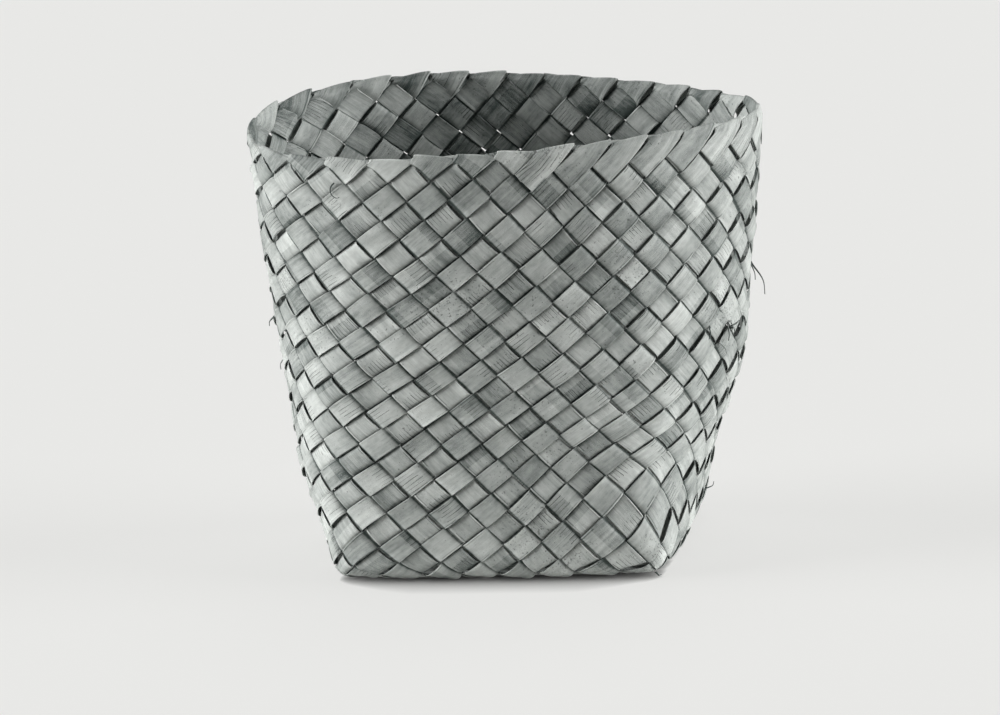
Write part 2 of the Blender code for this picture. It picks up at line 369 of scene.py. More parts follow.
    def cornered(self, points: np.ndarray) -> np.ndarray:
        """Draws the places near the corners of the bottom out to a point.

        Args:
            points: The points to move, with X, Y and Z on the last axis.

        Returns:
            The moved points.
        """
        moved = points
        for corner in Corner:
            x, y = corner.diagonal * self.bottom_side / 2 * self.corner_place
            away = np.array([x, y, self.ground_lift]) - points
            near = np.exp(-((away**2).sum(-1, keepdims=True)) / self.corner_reach**2)
            moved = moved + away * near * self.corner_pull
        return moved

    @staticmethod
    def bulged(points: np.ndarray) -> np.ndarray:
        """Moves the points that lie near a bulge.

        Args:
            points: The points to move, with X, Y and Z on the last axis.

        Returns:
            The moved points.
        """
        for bulge in BULGES:
            away = (points - np.array(bulge.centre)) / np.array(bulge.reach)
            near = np.exp(-(away**2).sum(-1, keepdims=True))
            points = points + np.array(bulge.shift) * near
        return points

    def uneven(self, points: np.ndarray, normals: np.ndarray) -> np.ndarray:
        """Moves points of the even surface as plaiting by hand does: corners, bulges and dents.

        Args:
            points: The points to move, with X, Y and Z on the last axis.
            normals: Their outward normals.

        Returns:
            The moved points.
        """
        points = self.bulged(self.cornered(points))
        flat = points.reshape(-1, 3) / self.dent_length
        depth = np.array([noise.noise(Vector(point)) for point in flat]).reshape(points.shape[:-1])
        level = smooth(points[..., 2], self.dent_start_height, self.dent_full_height)
        return points + normals * (depth * level * self.dent_height)[..., None]


@dataclass(frozen=True)
class StripSizes:
    """What the strips measure, and how they lie in the weave.

    Attributes:
        thickness: The thickness of a strip.
        filled_share: The width of a strip, as a share of the strips' spacing.
        width_play: How far the width wanders, as a share of it.
        lean_width: How much wider a strip is where it leans to the right, and narrower to the left.
        lean_lift: How far out it lies where it leans to the right, as a share of the puff.
        sway: How far the middle line wanders, in half spacings.
        puff: How far a cell stands out from the surface.
        puff_play: How much the puff differs from cell to cell, as a share of it.
        crown: How much lower a cell is at the strip's edges, as a share of the puff.
        flatness: How flat the cells are on top, and how steeply they dive at their ends.
        fold_radius: The radius of the fold over the rim.
        rim_puff: The puff of the cells next to the rim, as a share of the puff.
        rim_share: The width of a strip at the rim, as a share of the spacing.
        fold_rise: How far the fold line lies above the last row, in rows.
        fold_rise_play: How far that differs from fold to fold.
        fold_slant: How far the fold line climbs from the middle to one edge, in rows.
        fold_slant_play: How far that differs from fold to fold.
        shoulder: How far the fold line drops at both edges, in rows.
        cut_short: How far a cut end stays below the folds, in crossings.
        inner_tail: The length of a tail that is tucked inside, in crossings.
        outer_tail: The length of a tail that lies outside, in crossings.
        outer_fold_columns: The columns of the rim between which the ends are folded outward.
        edge_curl: How far an edge of a strip curls off at most.
        edge_curl_start: Where the curl starts, as a share of the half width.
        ground_gap: The height of a strip's middle surface where it rests on the ground.
        path_smoothing: The spread of the smoothing along a strip, in crossings.
    """

    thickness: float = 0.00036
    filled_share: float = 0.930
    width_play: float = 0.075
    lean_width: float = 0.060
    lean_lift: float = 0.28
    sway: float = 0.078
    puff: float = 0.00140
    puff_play: float = 0.42
    crown: float = 0.12
    flatness: float = 2.5
    fold_radius: float = 0.00085
    rim_puff: float = 0.85
    rim_share: float = 0.99
    fold_rise: float = 0.100
    fold_rise_play: float = 0.025
    fold_slant: float = 0.062
    fold_slant_play: float = 0.030
    shoulder: float = 0.028
    cut_short: float = 0.07
    inner_tail: float = 1.0
    outer_tail: float = 1.46
    outer_fold_columns: tuple[float, float] = (3.4, 11.6)
    edge_curl: float = 0.00095
    edge_curl_start: float = 0.72
    ground_gap: float = 0.00045
    path_smoothing: float = 0.26


@dataclass(frozen=True)
class Fray:
    """A sliver that has split off the edge of a strip and stands away from it.

    Attributes:
        strip: The strip that it belongs to.
        along: The crossing where it leaves the strip.
        edge: Where it leaves across the strip, from -1 at one edge to 1 at the other.
        length: How long it is.
        heading: 1 if it points on along the strip, -1 if it points back.
        lift: How strongly it rises off the strip.
        droop: How strongly it hangs down towards its tip.
        curl: Half the angle by which it turns aside up to its tip, in radians.
        width: Its width at the root.
    """

    strip: str
    along: float
    edge: float
    length: float
    heading: float
    lift: float
    droop: float
    curl: float = 0.0
    width: float = 0.00105


# These stand off the strips where the photo shows them.
FRAYS = (
    Fray("strip_front_left_4", 8.0, -1.0, 0.022, 1.0, 0.60, 0.70, 0.0, 0.0015),
    Fray("strip_front_left_4", 8.15, -0.9, 0.010, 1.0, 0.40, 1.00),
    Fray("strip_front_left_4", 11.4, 0.8, 0.009, 1.0, 1.00, 0.50, 0.0, 0.0015),
    Fray("strip_front_left_4", 11.6, 1.0, 0.009, 1.0, 0.60, 0.90, 0.0, 0.0014),
    Fray("strip_front_left_4", 11.7, 0.5, 0.008, -1.0, 0.60, 0.20, 0.0, 0.0014),
    Fray("strip_back_right_1", 37.2, 0.6, 0.009, 1.0, 0.70, 0.60, 0.0, 0.0013),
    Fray("strip_back_right_1", 37.5, -0.5, 0.008, -1.0, 0.60, 0.90, 0.0, 0.0013),
    Fray("strip_front_left_3", 11.3, 0.9, 0.008, 1.0, 0.80, 0.40, 0.0, 0.0013),
    Fray("strip_back_right_1", 13.3, -1.0, 0.009, 1.0, 0.80, 0.60),
    Fray("strip_back_right_1", 13.1, -0.5, 0.007, 1.0, 0.50, 1.20),
    Fray("strip_back_right_1", 13.0, 0.4, 0.006, -1.0, 0.70, 0.20),
    Fray("strip_front_right_3", 21.6, 1.0, 0.008, -1.0, 0.90, -0.15),
    Fray("strip_back_right_7", 13.4, 1.0, 0.009, 1.0, 0.70, 1.10),
    Fray("strip_back_right_3", 0.7, -0.3, 0.012, 1.0, 0.45, 0.20, 1.60, 0.00075),
    Fray("strip_front_left_6", 1.2, -0.9, 0.005, 1.0, 0.60, 0.20),
    Fray("strip_front_right_1", 24.6, 0.9, 0.006, -1.0, 0.60, 0.10),
    Fray("strip_back_right_5", 9.5, -1.0, 0.008, 1.0, 0.80, 0.80),
    Fray("strip_back_left_3", 30.2, 1.0, 0.007, 1.0, 0.75, 0.40),
)


@dataclass
class PlaitedStrip:
    """One strip, from its end at one rim, over a wall and the bottom, to the other rim.

    Attributes:
        shape: The surface that it follows.
        sizes: What it measures.
        corner: The corner of the bottom that it cuts off.
        place: How many strips lie between it and that corner.
        number: Its number among all strips.
        along_samples: Where a row of points lies in each cell, in crossings from its middle.
        across_samples: Where a point lies in each row, from one edge of the strip to the other.
    """

    SEED = 1700
    SWAY_LIMIT = 1.6

    # Lengths along the strip, in crossings. It settles into a fold or a cut over the last ones.
    PATH_STEP = 0.125
    BEYOND = 2
    ROW_GAP = 0.03
    LAST_CELL = 0.36
    SLANT_FADE = 1.7
    RIM_SETTLE = 0.70
    FOLD_SETTLE = 0.42
    CUT_SETTLE = (0.25, 0.62)
    TAIL_STEP = 0.06
    TAIL_SETTLE = 0.30
    TAIL_DROP = 0.75

    SLIVER_STEPS = 14
    SLIVER_GRAIN_STEP = 0.0004

    shape: BasketShape
    sizes: StripSizes
    corner: Corner
    place: int
    number: int
    along_samples: tuple[float, ...] = (
        -0.5, -0.46, -0.42, -0.38, -0.34, -0.29, -0.22, -0.10, 0.10, 0.22, 0.29, 0.34, 0.38, 0.42, 0.46
    )
    across_samples: tuple[float, ...] = (-1.0, -0.93, -0.8, -0.45, 0.0, 0.45, 0.8, 0.93, 1.0)
    rows_of_points: list[np.ndarray] = field(default_factory=list)
    rows_of_cells: list[np.ndarray] = field(default_factory=list)

    def __post_init__(self) -> None:
        """Works out the strip's length in crossings and draws its own unevenness."""
        self.leg = 2 * self.shape.rows
        self.bottom_steps = 2 * self.place + 1
        self.total = 2 * self.leg + self.bottom_steps
        self.across = np.array(self.across_samples)
        sizes, draw = self.sizes, np.random.default_rng(self.SEED + self.number)
        cells, knots = self.total + 2 * self.BEYOND + 1, self.total // 2 + 4
        self.cell_puff = 1 + sizes.puff_play * draw.uniform(-1, 1, cells)
        self.sway_line = sizes.sway * draw.normal(0, 1, knots).clip(-self.SWAY_LIMIT, self.SWAY_LIMIT)
        self.width_line = 1 + sizes.width_play * draw.uniform(-1, 1, knots)
        self.rises = sizes.fold_rise + sizes.fold_rise_play * draw.uniform(-1, 1, 2)
        self.slants = sizes.fold_slant + sizes.fold_slant_play * draw.uniform(-1, 1, 2)
        self.cell_puff[:4] = self.cell_puff[-4:] = sizes.rim_puff
        self.curl = draw.uniform(0.2, 1.0, (cells, 2)) ** 2

    @property
    def name(self) -> str:
        """The name of the strip's solid."""
        return f"strip_{self.corner.label}_{self.place + 1}"

    def foot(self, which: int) -> tuple[float, float]:
        """How one leg of the strip leaves the bottom.

        Args:
            which: The end of the strip, 0 for the first and 1 for the last.

        Returns:
            The way that it leans going up, 1 for anticlockwise or -1, and the column of its foot.
        """
        lean = 1.0 - 2.0 * which
        return lean, self.corner.value * self.shape.side_columns + lean * (self.place + 0.5)

    def surface(self, along: np.ndarray, across: np.ndarray) -> np.ndarray:
        """The bare surface under the strip.

        Args:
            along: Crossings from the rim end that leans to the right.
            across: Half spacings from the middle line, towards the strip's corner of the bottom.

        Returns:
            The points, in an array with one more axis.
        """
        start = self.corner.value * self.shape.side_columns
        foot = self.place + 0.5
        late = along > self.total / 2
        climbed = np.where(late, along - (self.total - self.leg), self.leg - along) / 2
        side = np.where(late, -1.0, 1.0)
        on_leg = self.shape.lattice(start + side * (foot + climbed - across / 4), climbed + across / 4)
        half = self.shape.side_columns / 2
        diagonal = self.corner.diagonal
        right_foot = self.shape.place_of(np.float64(start + foot), np.float64(0.0))
        left_foot = self.shape.place_of(np.float64(start - foot), np.float64(0.0))
        share = ((along - self.leg) / self.bottom_steps)[..., None]
        place = right_foot + (left_foot - right_foot) * share + (across / 4)[..., None] * diagonal
        column, row = self.shape.side_of(place)
        beyond = np.abs(place).max(-1) > half
        on_wall = self.shape.wall(column, np.maximum(row, 0.0))
        on_floor = np.where(beyond[..., None], on_wall, self.shape.floor(place))
        on_chord = (along > self.leg) & (along < self.total - self.leg)
        return np.where(on_chord[..., None], on_floor, on_leg)

    def relief(self, along: np.ndarray, across: np.ndarray) -> np.ndarray:
        """How far the strip lies outside the surface: out over one partner, in under the next.

        Args:
            along: Crossings from the first end.
            across: From -1 at one edge of the strip to 1 at the other.

        Returns:
            The offsets along the outward normal, in metres.
        """
        sizes = self.sizes
        cell = np.clip(np.round(along).astype(int) + self.BEYOND, 0, len(self.cell_puff) - 1)
        wave = self.flattened(np.cos(math.pi * along))
        crown = 1 - sizes.crown * across**2
        curl = np.where(across > 0, self.curl[cell, 1], self.curl[cell, 0])
        lifted = smooth(np.abs(across), sizes.edge_curl_start, 1.0) * curl
        raised = self.cell_puff[cell] * wave * crown + sizes.lean_lift * self.lean(along)
        return sizes.puff * raised + sizes.edge_curl * lifted * wave

    def flattened(self, wave: np.ndarray) -> np.ndarray:
        """A wave from -1 to 1 with its tops made flat, as the cells of the weave lie."""
        return np.tanh(self.sizes.flatness * wave) / math.tanh(self.sizes.flatness)

    def lean(self, along: np.ndarray) -> np.ndarray:
        """1 on the wall where the strip leans to the right, and -1 where it leans to the left."""
        return 1 - 2 * smooth(along, self.leg - 1.0, self.total - self.leg + 1.0)

    def path(self) -> tuple[np.ndarray, np.ndarray, np.ndarray]:
        """The smoothed surface under the strip on an even grid.

        Returns:
            The crossings along it, the points, and the outward normals.
        """
        step = self.PATH_STEP
        along = np.arange(-self.BEYOND, self.total + self.BEYOND + step / 2, step)
        knots = np.linspace(0, self.total, len(self.sway_line))
        sway = np.interp(along, knots, self.sway_line)
        width = np.interp(along, knots, self.width_line) * self.sizes.filled_share
        width = width * (1 + self.sizes.lean_width * self.lean(along))
        across = sway[:, None] + width[:, None] * self.across[None, :]
        points = self.surface(np.broadcast_to(along[:, None], across.shape), across)
        reach = int(4 * self.sizes.path_smoothing / step)
        kernel = np.exp(-0.5 * (np.arange(-reach, reach + 1) * step / self.sizes.path_smoothing) ** 2)
        kernel /= kernel.sum()
        padded = np.pad(points, ((reach, reach), (0, 0), (0, 0)), mode="reflect", reflect_type="odd")
        points = sum(weight * padded[index : index + len(along)] for index, weight in enumerate(kernel))
        run = np.gradient(points, axis=0)
        line = np.gradient(points, self.across, axis=1)
        normals = np.cross(run, line)
        normals /= np.linalg.norm(normals, axis=-1, keepdims=True)
        at_rim, middle = round(self.BEYOND / step), len(self.across) // 2
        outward = points[at_rim, middle] * np.array([1.0, 1.0, 0.0])
        normals *= np.sign(normals[at_rim, middle] @ outward)
        return along, self.shape.uneven(points, normals), normals

    def rim_end(self, which: int) -> RimEnd:
        """What becomes of one end of the strip.

        Args:
            which: The end of the strip, 0 for the first and 1 for the last.

        Returns:
            How it is folded or cut.
        """
        lean, foot = self.foot(which)
        column = (foot + lean * self.shape.rows) % self.shape.columns
        first, last = self.sizes.outer_fold_columns
        if first < column < last:
            return (RimEnd.CUT, RimEnd.FOLDED_OUT)[which]
        return (RimEnd.FOLDED_IN, RimEnd.CUT)[which]

    def slanted(self, base: np.ndarray) -> np.ndarray:
        """The crossings along each line of the strip, slanted at both ends to follow the rim.

        Args:
            base: Crossings along the middle line.

        Returns:
            Crossings along every line, in an array with one more axis.
        """
        level = 0.5 * self.sizes.filled_share
        first = (1 - smooth(base, -2 * self.rises[0], self.SLANT_FADE))[:, None]
        last = (1 - smooth(self.total - base, -2 * self.rises[1], self.SLANT_FADE))[:, None]
        start = level * self.across - 2 * self.crest(0)
        end = level * self.across - 2 * self.crest(1)
        return base[:, None] + first * start - last * end

    def body(self) -> None:
        """Adds the rows of points of the whole strip, with its two ends."""
        grid, points, normals = self.path()
        ends = [self.rim_end(0), self.rim_end(1)]
        short = [self.sizes.cut_short if end is RimEnd.CUT else 0.0 for end in ends]
        first, last = -2 * self.rises[0] + short[0], self.total + 2 * self.rises[1] - short[1]
        samples = [cell + part for cell in range(self.total + 1) for part in self.along_samples]
        inner = [value for value in samples if first + self.ROW_GAP < value < last - self.ROW_GAP]
        base = np.array([first, *inner, last])
        along = self.slanted(base)
        lines = range(len(self.across))
        place = np.stack([self.sample(grid, points[:, line], along[:, line]) for line in lines], 1)
        normal = np.stack([self.sample(grid, normals[:, line], along[:, line]) for line in lines], 1)
        normal /= np.linalg.norm(normal, axis=-1, keepdims=True)
        offset = self.relief(along, np.broadcast_to(self.across, along.shape))
        for which, end in enumerate(ends):
            left = (base - first if which == 0 else last - base)[:, None]
            line, facing = self.rim_line(which)
            near = (1 - smooth(left, 0.0, self.RIM_SETTLE))[..., None]
            place = place + (line - place[-which]) * near
            normal = normal * (1 - near) + facing * near
            if end is RimEnd.CUT:
                offset = offset * smooth(left, *self.CUT_SETTLE)
            else:
                near = 1 - smooth(left, 0.0, self.FOLD_SETTLE)
                offset = offset * (1 - near) + end.body_side * self.sizes.fold_radius * near
        along = np.clip(along, -self.LAST_CELL, self.total + self.LAST_CELL)
        if ends[0] is not RimEnd.CUT:
            self.fold(0, ends[0], place[0], normal[0], along[0])
        for index in range(len(base)):
            self.add_row(place[index] + normal[index] * offset[index][:, None], along[index])
        if ends[1] is not RimEnd.CUT:
            self.fold(1, ends[1], place[-1], normal[-1], along[-1])

    def add_row(self, points: np.ndarray, cells: np.ndarray) -> None:
        """Adds one row of points across the strip, pressed flat where it meets the ground.

        Args:
            points: The points, from one edge of the strip to the other.
            cells: Their crossings along the strip.
        """
        pressed = np.maximum(points[:, 2], self.sizes.ground_gap)
        self.rows_of_points.append(np.column_stack([points[:, :2], pressed]))
        self.rows_of_cells.append(cells)

    def fold(self, which: int, end: RimEnd, line: np.ndarray, normal: np.ndarray, along: np.ndarray) -> None:
        """Adds the round of a fold over the rim and the tail that lies along the partner.

        Args:
            which: The end of the strip, 0 for the first and 1 for the last.
            end: How it is folded.
            line: The points of the fold line on the surface.
            normal: The outward normals there.
            along: The crossings along the strip at the fold line.
        """
        radius = self.sizes.fold_radius
        upward = np.array([0.0, 0.0, 1.0]) - normal * normal[:, 2:3]
        upward /= np.linalg.norm(upward, axis=-1, keepdims=True)
        rows = []
        for angle in np.linspace(math.pi * 0.12, math.pi * 0.88, 7):
            turned = upward * math.sin(angle) + normal * (math.cos(angle) * end.body_side)
            rows.append((line + turned * radius, along))
        rows += self.tail(which, end, along)
        for points, cells in reversed(rows) if which == 0 else rows:
            self.add_row(points, cells)

    def tail(self, which: int, end: RimEnd, along: np.ndarray) -> list[tuple[np.ndarray, np.ndarray]]:
        """The rows of a folded end below the rim, tucked inside or laid over the outside.

        Args:
            which: The end of the strip, 0 for the first and 1 for the last.
            end: How it is folded.
            along: The crossings along the strip at the fold line.

        Returns:
            The points of each row and their crossings along the strip.
        """
        lean, foot = self.foot(which)
        rim = self.shape.rows
        half = 0.5 * self.sizes.rim_share * self.across
        raised = self.rises[which] + self.crest(which)
        length = self.sizes.inner_tail if end is RimEnd.FOLDED_IN else self.sizes.outer_tail
        rest = -end.body_side * self.sizes.fold_radius
        rows = []
        for step in np.arange(0.05, length, self.TAIL_STEP):
            reach = step + half * step / length
            left = raised * (1 - float(smooth(np.float64(step), 0.0, self.TAIL_DROP)))
            column = foot + lean * (rim + reach / 2 - half)
            place, outward = self.wall_frame(column, rim + left - reach / 2)
            start = float(smooth(np.float64(step), 0.0, self.TAIL_SETTLE))
            depth = self.tail_depth(end, reach - half) * start + rest * (1 - start)
            rows.append((self.shape.uneven(place, outward) + outward * depth[:, None], along))
        return rows

    def tail_depth(self, end: RimEnd, along_partner: np.ndarray) -> np.ndarray:
        """How far a tail lies off the surface once it has left its fold.

        Args:
            end: How it is folded.
            along_partner: How far its points lie along its partner, in crossings.

        Returns:
            The offsets along the outward normal, in metres.
        """
        sizes = self.sizes
        layers, leaned = 1.5 * sizes.thickness, sizes.lean_lift * sizes.puff
        if end is RimEnd.FOLDED_OUT:
            return np.full(len(along_partner), sizes.rim_puff * sizes.puff + layers) + leaned
        partner = self.flattened(np.cos(math.pi * np.clip(along_partner, 0.0, 1.0)))
        return -sizes.puff * (0.10 + 0.90 * partner) - layers - leaned

    def rim_line(self, which: int) -> tuple[np.ndarray, np.ndarray]:
        """Where one end of the strip reaches the rim.

        Args:
            which: The end of the strip, 0 for the first and 1 for the last.

        Returns:
            The points of the surface at the fold line, and the outward normals there.
        """
        lean, foot = self.foot(which)
        rim = self.shape.rows
        column = foot + lean * (rim - 0.5 * self.sizes.rim_share * self.across)
        place, outward = self.wall_frame(column, rim + self.rises[which] + self.crest(which))
        return self.shape.uneven(place, outward), outward

    def crest(self, which: int) -> np.ndarray:
        """How the fold line rises and falls across the strip, in rows, with rounded shoulders."""
        return self.slants[which] * self.across - self.sizes.shoulder * self.across**4

    def sliver(self, fray: Fray) -> np.ndarray:
        """The two edges of a sliver, point by point from its root to its tip.

        Args:
            fray: Where it leaves the strip and how it bends.

        Returns:
            Its points, left and right edge by turns.
        """
        grid, points, normals = self.path()
        line = round((fray.edge + 1) / 2 * (len(self.across) - 1))
        root = self.sample(grid, points[:, line], np.array([fray.along]))[0]
        ahead = self.sample(grid, points[:, line], np.array([fray.along + 0.2]))[0]
        outward = self.sample(grid, normals[:, line], np.array([fray.along]))[0]
        run = (ahead - root) * fray.heading
        run /= np.linalg.norm(run)
        aside = np.cross(outward, run)
        place = root + outward * (self.sizes.puff * (1 + self.sizes.lean_lift) + self.sizes.thickness)
        steps = self.SLIVER_STEPS
        edges = []
        for index in range(steps + 1):
            share = index / steps
            rise = math.sin(math.pi * min(1.0, share * 1.2 + 0.1))
            way = run * (1 - 0.5 * share) + outward * fray.lift * rise
            way = way + np.array([0.0, 0.0, -1.0]) * fray.droop * share
            turn = fray.curl * share * 2
            way = way * math.cos(turn) + aside * math.sin(turn)
            way /= np.linalg.norm(way)
            half = fray.width / 2 * (1 - 0.8 * share)
            side = np.cross(way, outward)
            side /= max(np.linalg.norm(side), 1e-6)
            edges += [place + side * half, place - side * half]
            place = place + way * fray.length / steps
            place[2] = max(place[2], 2 * self.sizes.ground_gap)
        return np.array(edges)

    def wall_frame(self, column: np.ndarray, row: np.ndarray) -> tuple[np.ndarray, np.ndarray]:
        """The wall at columns and rows.

        Args:
            column: Columns, counted anticlockwise from the front left corner.
            row: Rows, counted up from the bottom's outline.

        Returns:
            The points of the surface and its outward normals.
        """
        nudge = 0.02
        place = self.shape.wall(column, row)
        run = self.shape.wall(column + nudge, row) - self.shape.wall(column - nudge, row)
        rise = self.shape.wall(column, row + nudge) - self.shape.wall(column, row - nudge)
        outward = np.cross(run, rise)
        return place, outward / np.linalg.norm(outward, axis=-1, keepdims=True)

    @staticmethod
    def sample(grid: np.ndarray, values: np.ndarray, where: np.ndarray) -> np.ndarray:
        """Values on an even grid, read in between.

        Args:
            grid: Where the values are given.
            values: The values, one row of three numbers for each place of the grid.
            where: Where to read them.

        Returns:
            One row of three numbers for each place asked for.
        """
        return np.stack([np.interp(where, grid, values[:, axis]) for axis in range(3)], -1)

    def ribbon(self) -> bpy.types.Object:
        """Builds the strip's middle surface as a mesh that knows where each point lies on the strip.

        Returns:
            The object, with the attributes "lie" (along, across, strip) and "cell" (crossings, edge).
        """
        self.body()
        points = np.array(self.rows_of_points)
        count, width = points.shape[:2]
        corners = np.arange(count * width).reshape(count, width)
        quads = [corners[:-1, :-1], corners[:-1, 1:], corners[1:, 1:], corners[1:, :-1]]
        quads = np.stack(quads, -1).reshape(-1, 4)
        if self.faces_outward(points):
            quads = quads[:, ::-1]
        walked = np.linalg.norm(np.diff(points[:, width // 2], axis=0), axis=-1)
        span = np.linalg.norm(np.diff(points, axis=1), axis=-1).sum(1)
        lie, cell = np.zeros((count, width, 3)), np.zeros((count, width, 3))
        lie[..., 0] = np.concatenate([[0.0], np.cumsum(walked)])[:, None]
        lie[..., 1] = self.across[None, :] * span[:, None] / 2
        lie[..., 2] = self.number
        cell[..., 0] = np.array(self.rows_of_cells)
        cell[..., 1] = self.across[None, :]
        points, lie, cell = (values.reshape(-1, 3) for values in (points, lie, cell))
        points, lie, cell, quads = self.with_slivers(points, lie, cell, quads)
        mesh = bpy.data.meshes.new(self.name)
        mesh.from_pydata(points.tolist(), [], quads.tolist())
        for name, values in (("lie", lie), ("cell", cell)):
            layer = mesh.attributes.new(name, "FLOAT_VECTOR", "POINT")
            layer.data.foreach_set("vector", values.reshape(-1).astype(np.float32))
        mesh.shade_smooth()
        piece = bpy.data.objects.new(f"plaited_{self.name}", mesh)
        bpy.context.scene.collection.objects.link(piece)
        return piece

    @staticmethod
    def faces_outward(points: np.ndarray) -> bool:
        """Whether the rows and lines of points turn their front to the outside of the basket.

        Args:
            points: The strip's points, row by row.

        Returns:
            True if they do, as seen at a place well up the first wall.
        """
        row, line = 60, 4
        here = points[row, line]
        front = np.cross(points[row, line + 1] - here, points[row + 1, line] - here)
        return bool(front @ (here * np.array([1.0, 1.0, 0.0])) > 0)

    def with_slivers(
        self, points: np.ndarray, lie: np.ndarray, cell: np.ndarray, quads: np.ndarray
    ) -> tuple[np.ndarray, ...]:
        """Adds the strip's slivers to its mesh.

        Args:
            points: The strip's points.
            lie: Where each lies along and across the strip, and on which strip.
            cell: Its crossings along the strip and its place from edge to edge.
            quads: The strip's faces.

        Returns:
            The same four with the slivers at their ends.
        """
        own = [fray for fray in FRAYS if fray.strip == self.name]
        for fray in own:
            sliver = self.sliver(fray)
            steps = len(points) + 2 * np.arange(len(sliver) // 2 - 1)
            quads = np.vstack([quads, np.stack([steps, steps + 1, steps + 3, steps + 2], -1)])
            near = np.full((len(sliver), 3), (0.0, 0.0, self.number + 0.5))
            grain = np.arange(len(sliver)) * self.SLIVER_GRAIN_STEP
            near[:, 0] = fray.along * self.shape.strip_spacing + grain
            # Each sliver sits near the end of a cell, so it takes the painted shade of a dive end and shows
            # dark.
            covered = np.full((len(sliver), 3), (round(fray.along) + 0.49, 0.0, 0.0))
            points, lie = np.vstack([points, sliver]), np.vstack([lie, near])
            cell = np.vstack([cell, covered])
        return points, lie, cell, quads


def linear(hex_colour: str) -> tuple[float, float, float, float]:
    """Turns an sRGB hex colour into the linear colour that a socket takes.

    Args:
        hex_colour: The colour as "#RRGGBB".

    Returns:
        Red, green, blue and alpha.
    """
    parts = [int(hex_colour[index : index + 2], 16) / 255 for index in (1, 3, 5)]
    straight = [part / 12.92 if part <= 0.04045 else ((part + 0.055) / 1.055) ** 2.4 for part in parts]
    return (*straight, 1.0)


@dataclass
class Graph:
    """A node tree that is built from the inputs of each node."""

    tree: bpy.types.NodeTree

    def add(self, kind: str, *values: Any, named: dict[str, Any] | None = None, **settings: Any) -> Any:
        """Adds a node with its settings, and sets or links its inputs.

        Args:
            kind: The node's type name, with a dot and its operation after it where it has one.
            values: What its first inputs take, in order: a socket, a value, or None to leave one.
            named: What further inputs take, by name.
            settings: The node's own properties.

        Returns:
            The node's first output, or None where it has no output.
        """
        kind, _, operation = kind.partition(".")
        node = self.tree.nodes.new(kind)
        if operation:
            settings["operation"] = operation
        for name, value in settings.items():
            setattr(node, name, value)
        further = [(node.inputs[name], value) for name, value in (named or {}).items()]
        for socket, value in [*zip(node.inputs, values), *further]:
            self.feed(socket, value)
        return node.outputs[0] if node.outputs else None

    def feed(self, socket: bpy.types.NodeSocket, value: Any) -> None:
        """Links a socket to an input, or sets its value.

        Args:
            socket: The input.
            value: A socket, a value, or None to leave the input as it is.
        """
        if isinstance(value, bpy.types.NodeSocket):
            self.tree.links.new(value, socket)
        elif value is not None:
            socket.default_value = value


class StripBuilder:
    """A Geometry Nodes tree that gives a ribbon its ripples, its thickness and its finish."""

    NAME = "strip_from_ribbon"
    SIZES = (
        ("Thickness", "NodeSocketFloat", 0.00036),
        ("Ripple height", "NodeSocketFloat", 0.00030),
        ("Ripple size", "NodeSocketFloat", 0.006),
        ("Seed", "NodeSocketInt", 7),
    )

    def __init__(self) -> None:
        """Builds the tree with its named inputs."""
        self.graph = Graph(bpy.data.node_groups.new(self.NAME, "GeometryNodeTree"))
        face = self.graph.tree.interface
        face.new_socket(name="Bare mesh", in_out="INPUT", socket_type="NodeSocketGeometry")
        for name, kind, default in self.SIZES:
            face.new_socket(name=name, in_out="INPUT", socket_type=kind).default_value = default
        face.new_socket(name="Finish", in_out="INPUT", socket_type="NodeSocketMaterial")
        face.new_socket(name="Finished mesh", in_out="OUTPUT", socket_type="NodeSocketGeometry")
        given = self.graph.add("NodeGroupInput").node.outputs
        plain = self.graph.add("GeometryNodeRealizeInstances", self.closed(given))
        finished = self.graph.add("GeometryNodeSetMaterial", plain, None, given["Finish"])
        self.graph.add("NodeGroupOutput", finished)

    def closed(self, given: Any) -> bpy.types.NodeSocket:
        """Moves the ribbon in and out a little, and closes it round with its second face.

        Args:
            given: The sockets of the tree's inputs.

        Returns:
            The socket of the closed mesh.
        """
        add = self.graph.add
        lie = add("GeometryNodeInputNamedAttribute", "lie", data_type="FLOAT_VECTOR")
        detail = add("ShaderNodeMath.DIVIDE", 1.0, given["Ripple size"])
        ripple = add("ShaderNodeTexNoise", lie, given["Seed"], detail, 1.0, noise_dimensions="4D")
        centred = add("ShaderNodeMath.ADD", ripple, -0.5)
        half = add("ShaderNodeMath.MULTIPLY", given["Thickness"], -0.5)
        shift = add("ShaderNodeMath.MULTIPLY_ADD", centred, given["Ripple height"], half)
        normal = add("GeometryNodeInputNormal")
        move = add("ShaderNodeVectorMath.SCALE", normal, named={"Scale": shift})
        inner = add("GeometryNodeSetPosition", given[0], named={"Offset": move})
        raised = {"Offset Scale": given["Thickness"], "Individual": False}
        outer = add("GeometryNodeExtrudeMesh", inner, named=raised)
        both = add("GeometryNodeJoinGeometry", outer)
        self.graph.feed(both.node.inputs[0], add("GeometryNodeFlipFaces", inner))
        return add("GeometryNodeMergeByDistance", both, named={"Distance": 0.01 * MILLIMETRE})

    def apply(self, piece: bpy.types.Object, values: dict[str, Any]) -> None:
        """Turns a ribbon into the finished strip, as a plain mesh.

        Args:
            piece: The object that holds the ribbon.
            values: The tree's inputs by name.
        """
        modifier = piece.modifiers.new(self.NAME, "NODES")
        modifier.node_group = self.graph.tree
        items = self.graph.tree.interface.items_tree
        sockets = {item.name: item.identifier for item in items if item.in_out == "INPUT"}
        for name, value in values.items():
            modifier[sockets[name]] = value
        graph = bpy.context.evaluated_depsgraph_get()
        shown = piece.evaluated_get(graph)
        made = bpy.data.meshes.new_from_object(shown, preserve_all_data_layers=True, depsgraph=graph)
        piece.modifiers.remove(modifier)
        bare = piece.data
        piece.data = made
        bpy.data.meshes.remove(bare)


